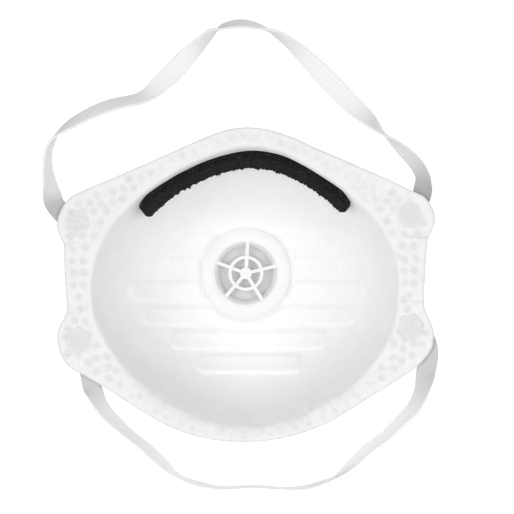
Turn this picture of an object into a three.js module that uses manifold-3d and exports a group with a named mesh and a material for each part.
// Disposable dust mask: a moulded four-layer cup with a flat welded sealing
// flange, a nose foam and a bendable nose strip, an exhalation valve, and two
// flat elastic head straps welded to four tabs.
//
// Millimetres, +Z up as worn. The wearer's face is on the -Y side and the cup
// bulges towards +Y. The origin lies on the wearer's face of the sealing
// flange, on the centreline, at the bridge of the nose. Left and right are the
// wearer's, so right is +X.

import * as THREE from 'three';
import { mergeVertices } from 'three/addons/utils/BufferGeometryUtils.js';
import Module from 'manifold-3d';

const { degToRad } = THREE.MathUtils;
const vec = (x, y, z) => new THREE.Vector3(x, y, z);

// ---------------------------------------------------------------- materials

const look = (settings) => new THREE.MeshStandardMaterial(settings);

const MATERIALS = {
  inner_lining: look({ color: 0xf4f4f2, roughness: 0.95 }),
  filter_media: look({ color: 0xfafafa, roughness: 0.9 }),
  support_shell: look({ color: 0xefefec, roughness: 0.95 }),
  outer_cover: look({ color: 0xf6f6f5, roughness: 0.9 }),
  nose_foam: look({ color: 0x151515, roughness: 0.98 }),
  nose_foam_tape: look({ color: 0xe8e6dc, roughness: 0.6 }),
  nose_clip_tape: look({ color: 0xe8e6dc, roughness: 0.6 }),
  nose_clip: look({ color: 0xb9bcc0, roughness: 0.35, metalness: 0.9 }),
  valve_seat: look({ color: 0xf2f2f0, roughness: 0.45 }),
  valve_diaphragm: look({ color: 0xcfcfcc, roughness: 0.5 }),
  valve_cover: look({ color: 0xf3f3f1, roughness: 0.4 }),
  strap: look({ color: 0xe6e6e4, roughness: 0.9 }),
};

const group = new THREE.Group();

function addPiece(name, geometry, material = MATERIALS[name]) {
  const mesh = new THREE.Mesh(geometry, material);
  mesh.name = name;
  group.add(mesh);
  return mesh;
}

// ------------------------------------------------------------ mesh building

const MERGE_DISTANCE = 1e-4;

const wasm = await Module();
wasm.setup();

function signedVolume(geometry) {
  const { position } = geometry.attributes;
  const index = geometry.index.array;
  let volume = 0;
  for (let i = 0; i < index.length; i += 3) {
    const [a, b, c] = [0, 1, 2].map((k) => vec().fromBufferAttribute(position, index[i + k]));
    volume += a.dot(b.cross(c)) / 6;
  }
  return volume;
}

// One closed mesh with shared corners, no collapsed triangles and faces that
// point out.
function closed(geometry) {
  geometry.deleteAttribute('normal');
  geometry.deleteAttribute('uv');
  const merged = mergeVertices(geometry, MERGE_DISTANCE);
  const index = merged.index.array;
  const kept = [];
  for (let i = 0; i < index.length; i += 3) {
    const [a, b, c] = [index[i], index[i + 1], index[i + 2]];
    if (a !== b && b !== c && a !== c) kept.push(a, b, c);
  }
  merged.setIndex(kept);
  if (signedVolume(merged) < 0) {
    for (let i = 0; i < kept.length; i += 3) {
      [kept[i + 1], kept[i + 2]] = [kept[i + 2], kept[i + 1]];
    }
    merged.setIndex(kept);
  }
  return merged;
}

function indexedMesh(coordinates, triangles) {
  const geometry = new THREE.BufferGeometry();
  geometry.setAttribute('position', new THREE.Float32BufferAttribute(coordinates, 3));
  geometry.setIndex(triangles);
  return closed(geometry);
}

function toManifold(geometry) {
  const source = closed(geometry);
  return new wasm.Manifold(
    new wasm.Mesh({
      numProp: 3,
      vertProperties: new Float32Array(source.attributes.position.array),
      triVerts: new Uint32Array(source.index.array),
    })
  );
}

function fromManifold(solid) {
  const mesh = solid.getMesh();
  return indexedMesh(Array.from(mesh.vertProperties), Array.from(mesh.triVerts));
}

const join = (parts) => parts.map(toManifold).reduce((sum, part) => sum.add(part));
const cut = (solid, tools) => tools.map(toManifold).reduce((rest, tool) => rest.subtract(tool), solid);

// A solid between two grids of points with the same rows and columns. With
// wrap, the last column joins the first.
function gridSolid(near, far, wrap) {
  const rows = near.length;
  const cols = near[0].length;
  const id = (side, r, c) => side * rows * cols + r * cols + (c % cols);
  const triangles = [];
  const quad = (a, b, c, d) => triangles.push(a, b, c, a, c, d);
  const spans = wrap ? cols : cols - 1;
  for (let c = 0; c < spans; c++) {
    for (let r = 0; r + 1 < rows; r++) {
      quad(id(0, r, c), id(0, r, c + 1), id(0, r + 1, c + 1), id(0, r + 1, c));
      quad(id(1, r, c), id(1, r + 1, c), id(1, r + 1, c + 1), id(1, r, c + 1));
    }
    const end = rows - 1;
    quad(id(0, 0, c), id(1, 0, c), id(1, 0, c + 1), id(0, 0, c + 1));
    quad(id(0, end, c), id(0, end, c + 1), id(1, end, c + 1), id(1, end, c));
  }
  if (!wrap) {
    const end = cols - 1;
    for (let r = 0; r + 1 < rows; r++) {
      quad(id(0, r, 0), id(0, r + 1, 0), id(1, r + 1, 0), id(1, r, 0));
      quad(id(0, r, end), id(1, r, end), id(1, r + 1, end), id(0, r + 1, end));
    }
  }
  const points = [...near.flat(), ...far.flat()];
  return indexedMesh(points.flatMap((p) => [p.x, p.y, p.z]), triangles);
}

// ------------------------------------------------------------------ the cup

const CUP_DEPTH = 45.0; // wearer's face of the flange to the inside of the valve platform
const VALVE_Z = -54.6; // height of the valve's axis
const PLATFORM_R = 18.5; // flat round platform that carries the valve
const SHELL_HOLE_R = 14.0; // hole through all four layers
const RIM_LAND = 1.2; // flat land outside the rim before the wall turns in
const WALL_STEPS = [0.04, 0.165, 0.35, 0.6, 0.82, 1.0]; // rim (0) to platform (1)

// How sharply the wall turns, as the exponent of its curve.
const STEEPNESS = { nose: 1.55, side: 3.0, chin: 3.0 };

// Wearer's side and far side of each layer, measured from the wearer's face:
// where the flange is welded flat, and where the cup is full thickness.
const LAYERS = {
  inner_lining: { flange: [0.0, 0.25], cup: [0.0, 0.4] },
  filter_media: { flange: [0.32, 0.52], cup: [0.5, 0.9] },
  support_shell: { flange: [0.6, 1.05], cup: [1.0, 2.2] },
  outer_cover: { flange: [1.12, 1.4], cup: [2.3, 2.7] },
};
const FLANGE_FAR = LAYERS.outer_cover.flange[1];
const CUP_FAR = LAYERS.outer_cover.cup[1];
const BLEND_SHARE = 0.55; // share of full thickness reached just inside the rim

// Right half of the flange, from the nose down to the chin. Each row holds a
// point of the outer outline (x, z) and the cup's rim on the same ray (x, z).
const HALF_FLANGE = [
  [0.0, 3.92, 0.0, -4.05],
  [10.0, 2.72, 8.6, -5.31],
  [19.2, -0.32, 16.45, -8.11],
  [31.2, -5.6, 26.33, -13.26],
  [43.8, -11.16, 35.65, -19.25],
  [56.0, -16.28, 43.07, -25.14],
  [65.84, -21.24, 48.45, -30.06],
  [71.32, -23.8, 50.8, -32.67],
  [73.92, -26.52, 52.41, -34.7],
  [75.36, -30.32, 54.12, -37.18],
  [75.68, -34.64, 55.74, -39.91],
  [74.72, -37.0, 56.47, -41.31],
  [72.4, -40.6, 57.48, -43.49],
  [72.0, -47.8, 59.41, -49.0],
  [71.84, -59.2, 60.87, -58.5],
  [71.6, -66.8, 60.72, -64.95],
  [72.8, -70.0, 60.45, -67.4],
  [73.8, -72.8, 60.15, -69.44],
  [75.12, -76.4, 59.65, -71.92],
  [75.44, -79.6, 59.05, -74.18],
  [74.8, -83.88, 57.96, -77.3],
  [73.0, -87.6, 56.61, -80.2],
  [70.2, -90.8, 55.01, -82.98],
  [63.2, -95.6, 51.52, -88.03],
  [53.6, -101.8, 45.64, -94.79],
  [43.88, -107.72, 38.42, -101.11],
  [32.12, -114.56, 28.43, -107.67],
  [20.0, -119.12, 17.91, -112.37],
  [8.0, -121.44, 7.2, -114.76],
  [0.0, -122.0, 0.0, -115.12],
];

const centre = vec(0, 0, VALVE_Z);

// Columns run once round the mask, clockwise from the nose as seen from the
// wearer's side. The left half mirrors the right.
const flangeColumn = ([outX, outZ, rimX, rimZ], side) => ({
  out: vec(side * outX, 0, outZ),
  rim: vec(side * rimX, 0, rimZ),
});
const columns = [
  ...HALF_FLANGE.map((row) => flangeColumn(row, 1)),
  ...HALF_FLANGE.slice(1, -1).reverse().map((row) => flangeColumn(row, -1)),
];

const rayTo = (rim) => rim.clone().sub(centre).normalize();

function landPoint({ out, rim }) {
  const outward = out.clone().sub(rim).normalize();
  return rim.clone().addScaledVector(outward, RIM_LAND);
}

// The exponent runs smoothly through the nose (up = 1), the sides (up = 0) and
// the chin (up = -1).
function wallPoint({ rim }, step) {
  const ray = rayTo(rim);
  const up = ray.z;
  const { nose, side, chin } = STEEPNESS;
  const exponent = side + ((nose + chin) / 2 - side) * up * up + ((nose - chin) / 2) * up;
  const platformEdge = centre.clone().addScaledVector(ray, PLATFORM_R);
  const point = rim.clone().lerp(platformEdge, step);
  point.y = CUP_DEPTH * (1 - Math.pow(1 - step, exponent));
  return point;
}

function holePoint({ rim }) {
  const point = centre.clone().addScaledVector(rayTo(rim), SHELL_HOLE_R);
  point.y = CUP_DEPTH;
  return point;
}

// Wearer's face of the mask, in rows from the outer outline to the valve hole.
const base = [
  columns.map(({ out }) => out),
  columns.map(landPoint),
  ...WALL_STEPS.map((step) => columns.map((column) => wallPoint(column, step))),
  columns.map(holePoint),
];
const WALL_ROW = 2; // first row of the wall, just inside the rim
const COLS = columns.length;
const wrapCol = (c) => (c + COLS) % COLS;

// Normal of the facet between rows r and r + 1, columns c and c + 1, pointing
// away from the wearer.
function facet(r, c) {
  const [c0, c1] = [wrapCol(c), wrapCol(c + 1)];
  const diagonal = base[r + 1][c1].clone().sub(base[r][c0]);
  const otherDiagonal = base[r + 1][c0].clone().sub(base[r][c1]);
  const normal = diagonal.cross(otherDiagonal).normalize();
  return normal.y < 0 ? normal.negate() : normal;
}

// Offset direction at a grid point, long enough that the facets round it move
// by one unit on average.
function offsetDirection(r, c) {
  const normals = [r - 1, r]
    .filter((row) => row >= 0 && row + 1 < base.length)
    .flatMap((row) => [facet(row, c - 1), facet(row, c)]);
  const direction = normals.reduce((sum, normal) => sum.add(normal), vec(0, 0, 0)).normalize();
  // The sum above starts from its own vector, so the normals are unchanged.
  const mean = normals.reduce((sum, normal) => sum + normal.dot(direction), 0) / normals.length;
  return direction.multiplyScalar(1 / mean);
}
const offsets = base.map((row, r) => row.map((_, c) => offsetDirection(r, c)));

// The wearer's face moved outwards, by one distance on the flange and another
// on the cup.
function offsetFace(flange, cup) {
  const distance = (r) => {
    if (r < WALL_ROW) return flange;
    return r === WALL_ROW ? flange + (cup - flange) * BLEND_SHARE : cup;
  };
  return base.map((row, r) => row.map((p, c) => p.clone().addScaledVector(offsets[r][c], distance(r))));
}

for (const [name, { flange, cup }] of Object.entries(LAYERS)) {
  const near = offsetFace(flange[0], cup[0]);
  const far = offsetFace(flange[1], cup[1]);
  addPiece(name, gridSolid(near, far, true));
}

// ------------------------------------------- nose foam, nose strip and tapes

const FOAM_THICK = 3.4;
const CLIP_THICK = 0.8;
const TAPE_THICK = 0.2;
const TAPE_GAP = 0.15; // clearance on each side of a tape
const ABOVE_TAPE = TAPE_GAP * 2 + TAPE_THICK;

// Edges of each band, as shares of the way from the first wall row to the next.
const FOAM_BAND = [0.05, 1.0];
const FOAM_TAPE_BAND = [0.08, 0.95];
const CLIP_BAND = [0.22, 0.66];
const CLIP_TAPE_INSET = 0.03;
const CLIP_TAPE_BAND = [CLIP_BAND[0] + CLIP_TAPE_INSET, CLIP_BAND[1] - CLIP_TAPE_INSET];

// side is the way the band is built up along Y; columns count each side of the
// centreline.
const INSIDE = { wall: offsetFace(0, 0), side: -1, columns: 5 };
const OUTSIDE = { wall: offsetFace(FLANGE_FAR, CUP_FAR), side: 1, columns: 4 };

// A band that follows the wall just below the rim across the nose, lying
// start to start + thick off the wall.
function noseBand({ wall, side, columns: reach }, edges, start, thick) {
  const face = (height) => {
    const rows = [];
    for (let k = -reach; k <= reach; k++) {
      const c = wrapCol(k);
      const normal = facet(WALL_ROW, c - 1).add(facet(WALL_ROW, c)).normalize();
      const top = wall[WALL_ROW][c];
      const low = wall[WALL_ROW + 1][c];
      rows.push(edges.map((edge) => top.clone().lerp(low, edge).addScaledVector(normal, side * height)));
    }
    return rows;
  };
  return gridSolid(face(start), face(start + thick), false);
}

addPiece('nose_foam_tape', noseBand(INSIDE, FOAM_TAPE_BAND, TAPE_GAP, TAPE_THICK));
addPiece('nose_foam', noseBand(INSIDE, FOAM_BAND, ABOVE_TAPE, FOAM_THICK));
addPiece('nose_clip_tape', noseBand(OUTSIDE, CLIP_TAPE_BAND, TAPE_GAP, TAPE_THICK));
addPiece('nose_clip', noseBand(OUTSIDE, CLIP_BAND, ABOVE_TAPE, CLIP_THICK));

// ---------------------------------------------------------------- the valve

// Each part is built round the Y axis and then set at the valve's height.
// Distances along Y are measured from the inside of the platform, at CUP_DEPTH.

const TURNED_SEGMENTS = 36;
const VALVE_GAP = 0.3; // clearance between the valve's parts and the cup

const SEAT_BORE_R = 12.5;
const SEAT_RIM_R = 18.1;
const SEAT_TUBE_R = 13.6;
const SEAT_TUBE_TOP = 5.0;
const LEDGE_R = 10.8;
const LEDGE_Y = [1.4, 2.4];

const SPOKES = { count: 5, firstAngle: 86, width: 1.25, radii: [1.0, 12.9], y: [-1.0, 0.5] };
const GRID_RING_R = 5.72; // inner radius; the ring is as wide as a spoke
const GRID_RING_Y = [-1.1, 0.4];
const HUB = { radius: 2.1, y: [-1.3, 1.6], segments: 20 };
const PEG = { radius: 1.2, y: [1.0, 5.3], segments: 12 };

const DISC_R = [1.6, 11.9];
const DISC_THICK = 0.5;

const COVER_R = 18.4;
const COVER_BASE = CUP_FAR + VALVE_GAP;
const COVER_FRONT = 11.2; // far face of the cover
const COVER_FRONT_THICK = 1.1;
const COVER_POST = { radius: 2.4, y: [6.2, 10.6], segments: 16 };
const WINDOWS = { count: 8, width: 8.0, radii: [14.4, 19.5], y: [5.6, 9.0] };

// A solid of revolution about Y, from points of radius and y.
function turned(profile) {
  const points = profile.map(([radius, y]) => new THREE.Vector2(radius, CUP_DEPTH + y));
  return new THREE.LatheGeometry(points, TURNED_SEGMENTS);
}

const ring = ([r0, r1], [y0, y1]) => turned([[r0, y0], [r1, y0], [r1, y1], [r0, y1], [r0, y0]]);

function rod({ radius, y: [y0, y1], segments }) {
  const geometry = new THREE.CylinderGeometry(radius, radius, y1 - y0, segments);
  return geometry.translate(0, CUP_DEPTH + (y0 + y1) / 2, 0);
}

// A bar that leaves the axis at an angle in degrees, from +X towards +Z.
function bar({ radii: [r0, r1], y: [y0, y1], width }, angle) {
  const geometry = new THREE.BoxGeometry(r1 - r0, y1 - y0, width);
  geometry.translate((r0 + r1) / 2, CUP_DEPTH + (y0 + y1) / 2, 0);
  return geometry.rotateY(-degToRad(angle));
}

// Equal bars spread evenly round the axis.
const barsRound = (shape) => Array.from({ length: shape.count }, (_, i) =>
  bar(shape, shape.firstAngle + (i * 360) / shape.count));

function valveSeat() {
  const body = turned([
    [SEAT_BORE_R, -1.2], [13.1, -1.7], [15.3, -1.9], [17.5, -1.7], [SEAT_RIM_R, -1.1],
    [SEAT_RIM_R, -VALVE_GAP], [SEAT_TUBE_R, -VALVE_GAP],
    [SEAT_TUBE_R, SEAT_TUBE_TOP], [SEAT_BORE_R, SEAT_TUBE_TOP],
    [SEAT_BORE_R, LEDGE_Y[1]], [LEDGE_R, LEDGE_Y[1]],
    [LEDGE_R, LEDGE_Y[0]], [SEAT_BORE_R, LEDGE_Y[0]],
    [SEAT_BORE_R, -1.2],
  ]);
  const gridRing = ring([GRID_RING_R, GRID_RING_R + SPOKES.width], GRID_RING_Y);
  return fromManifold(join([body, gridRing, rod(HUB), rod(PEG), ...barsRound(SPOKES)]));
}

function valveDiaphragm() {
  const start = LEDGE_Y[1] + VALVE_GAP;
  return closed(ring(DISC_R, [start, start + DISC_THICK]));
}

// A hollow cap with a post inside and a ring of windows through its wall.
function valveCover() {
  const body = turned([
    [0, COVER_FRONT], [15.6, COVER_FRONT], [16.5, 10.4], [17.3, 4.4],
    [COVER_R, 4.1], [COVER_R, COVER_BASE], [13.9, COVER_BASE], [13.9, 4.2],
    [16.1, 4.4], [15.5, 9.7],
    [15.0, COVER_FRONT - COVER_FRONT_THICK], [0, COVER_FRONT - COVER_FRONT_THICK],
  ]);
  const halfPitch = 180 / WINDOWS.count;
  const windows = barsRound({ ...WINDOWS, firstAngle: halfPitch });
  return fromManifold(cut(join([body, rod(COVER_POST)]), windows));
}

addPiece('valve_seat', valveSeat()).position.z = VALVE_Z;
addPiece('valve_diaphragm', valveDiaphragm()).position.z = VALVE_Z;
addPiece('valve_cover', valveCover()).position.z = VALVE_Z;

// --------------------------------------------------------------- the straps

const STRAP_WIDTH = 7.4;
const STRAP_THICK = 0.9;
const STRAP_GAP = 0.25; // between the flange's far face and a strap end
const STRAP_REST_Y = FLANGE_FAR + STRAP_GAP + STRAP_THICK / 2; // mid-thickness of an end

// fold: direction of the strap's fold lines.
// loop: centreline as x, y, z and the roll of the band in degrees. At a roll of
//   0 or 180 the band lies flat in the XZ plane, at 90 it stands on edge.
// ends: welded ends on the flange's far face, as x, z from the free end out to
//   the fold line.
const STRAPS = {
  upper: {
    fold: vec(0.9995, 0, 0.03168).normalize(),
    loop: [
      [-77.32, 2.0, -24.25, -172], [-78.44, 1.0, -19.76, -150], [-79.12, -0.2, -14.92, -130],
      [-79.44, -1.1, -10.12, -119], [-79.0, -1.7, -5.36, -112], [-77.12, -2.0, -0.96, -101],
      [-74.04, -2.1, 2.6, -76], [-70.2, -2.1, 5.4, -66], [-66.04, -2.0, 7.8, -61],
      [-61.52, -1.9, 9.92, -55], [-56.88, -1.8, 11.96, -50], [-52.12, -1.6, 13.52, -51],
      [-47.36, -1.4, 14.48, -52], [-42.8, -1.2, 15.6, -50], [-38.72, -1.0, 17.84, -41],
      [-35.16, -0.8, 20.8, -28], [-31.72, -0.6, 24.0, -12], [-28.36, -0.4, 27.48, 6],
      [-25.16, -0.2, 31.24, 24], [-21.6, -0.1, 34.92, 39], [-17.8, 0, 38.28, 56],
      [-14.04, 0, 41.56, 72], [-9.92, 0, 43.84, 94], [-5.6, 0, 45.28, 106],
      [-1.16, 0, 45.72, 109], [3.4, 0, 44.84, 104], [8.0, 0, 43.36, 92],
      [12.56, 0, 41.24, 73], [16.88, 0, 38.52, 59], [20.68, -0.1, 35.2, 45],
      [24.28, -0.2, 31.84, 32], [27.64, -0.3, 28.44, 22], [30.88, -0.4, 24.96, 12],
      [34.16, -0.6, 21.6, 4], [37.4, -0.8, 18.16, -3], [40.64, -1.0, 14.64, -10],
      [44.16, -1.2, 11.36, -22], [47.92, -1.5, 8.2, -40], [51.48, -1.8, 4.88, -59],
      [55.0, -2.0, 1.4, -83], [58.72, -2.1, -1.8, -112], [62.36, -2.0, -5.04, -127],
      [65.84, -1.6, -8.32, -136], [68.8, -0.8, -11.96, -141], [70.8, 0.5, -16.2, -146],
      [71.0, 2.0, -19.55, -160],
    ],
    ends: {
      left: [
        [-63.08, -37.2], [-66.28, -35.4], [-69.88, -33.6],
        [-72.88, -31.2], [-75.3, -28.5], [-76.95, -25.95],
      ],
      right: [
        [61.32, -37.2], [63.32, -34.0], [65.72, -30.8],
        [68.12, -27.4], [69.9, -25.1], [70.9, -21.3],
      ],
    },
  },
  lower: {
    fold: vec(0.99878, 0, 0.04945).normalize(),
    loop: [
      [-60.72, 2.0, -101.72, 20], [-58.52, 1.0, -106.28, 36], [-55.68, 0.0, -110.4, 42],
      [-52.08, -0.8, -113.96, 47], [-48.4, -1.2, -117.48, 51], [-44.44, -1.4, -120.8, 54],
      [-40.32, -1.5, -124.04, 52], [-36.52, -1.5, -127.56, 51], [-32.64, -1.4, -130.92, 55],
      [-28.84, -1.2, -134.28, 70], [-24.48, -1.0, -136.72, 79], [-19.76, -0.8, -138.4, 77],
      [-14.88, -0.6, -139.6, 79], [-9.88, -0.4, -140.28, 82], [-4.76, -0.3, -140.28, 84],
      [0.4, -0.3, -140.04, 84], [5.6, -0.3, -140.0, 84], [10.8, -0.4, -140.28, 84],
      [16.0, -0.5, -140.6, 84], [21.12, -0.6, -140.36, 80], [26.08, -0.8, -139.6, 78],
      [30.8, -1.0, -138.04, 78], [35.44, -1.2, -136.32, 82], [39.44, -1.4, -133.2, 66],
      [43.28, -1.5, -129.8, 55], [47.16, -1.6, -126.36, 51], [51.12, -1.6, -122.96, 50],
      [55.28, -1.5, -119.88, 51], [59.04, -1.3, -116.36, 50], [62.64, -1.0, -112.8, 46],
      [66.12, -0.5, -109.16, 41], [68.68, 0.2, -104.84, 38], [70.52, 1.1, -100.16, 28],
      [71.88, 2.0, -95.08, 12],
    ],
    ends: {
      left: [
        [-68.28, -76.8], [-67.08, -81.2], [-65.48, -85.6],
        [-63.88, -90.0], [-62.48, -94.4], [-61.5, -99.85],
      ],
      right: [
        [62.12, -75.6], [65.72, -76.4], [69.32, -77.8], [72.0, -80.8],
        [73.2, -85.2], [73.0, -89.6], [72.2, -93.25],
      ],
    },
  },
};

// A flat band through stations of centre and roll. Its last section lies along
// the fold, and so does its first when foldedStart is set.
function band(stations, fold, foldedStart) {
  const centres = stations.map(([x, y, z]) => vec(x, y, z));
  const last = stations.length - 1;
  const near = [];
  const far = [];
  centres.forEach((point, i) => {
    const before = centres[Math.max(i - 1, 0)];
    const tangent = centres[Math.min(i + 1, last)].clone().sub(before).normalize();
    const outward = vec(tangent.z, 0, -tangent.x).normalize();
    if (outward.dot(point.clone().sub(centre)) < 0) outward.negate();

    // Roll turns the width from outward towards the wearer.
    const roll = degToRad(stations[i][3]);
    const across = outward.multiplyScalar(Math.cos(roll)).add(vec(0, -Math.sin(roll), 0));
    across.addScaledVector(tangent, -across.dot(tangent)).normalize();
    const normal = tangent.clone().cross(across).normalize();

    let halfWidth = STRAP_WIDTH / 2;
    if (i === last || (i === 0 && foldedStart)) {
      const slant = fold.clone().multiplyScalar(Math.sign(fold.dot(across)));
      halfWidth /= slant.dot(across); // keeps the band's width on the slanted section
      across.copy(slant);
    }
    const edges = (height) => [-1, 1].map((side) =>
      point.clone().addScaledVector(across, side * halfWidth).addScaledVector(normal, height));
    near.push(edges(-STRAP_THICK / 2));
    far.push(edges(STRAP_THICK / 2));
  });
  return gridSolid(near, far, false);
}

for (const [level, { loop, fold }] of Object.entries(STRAPS)) {
  addPiece(`${level}_strap_loop`, band(loop, fold, true), MATERIALS.strap.clone());
}
for (const [level, { ends, fold }] of Object.entries(STRAPS)) {
  for (const [side, path] of Object.entries(ends)) {
    const stations = path.map(([x, z]) => [x, STRAP_REST_Y, z, 0]);
    addPiece(`${level}_strap_end_${side}`, band(stations, fold, false), MATERIALS.strap.clone());
  }
}

export default group;
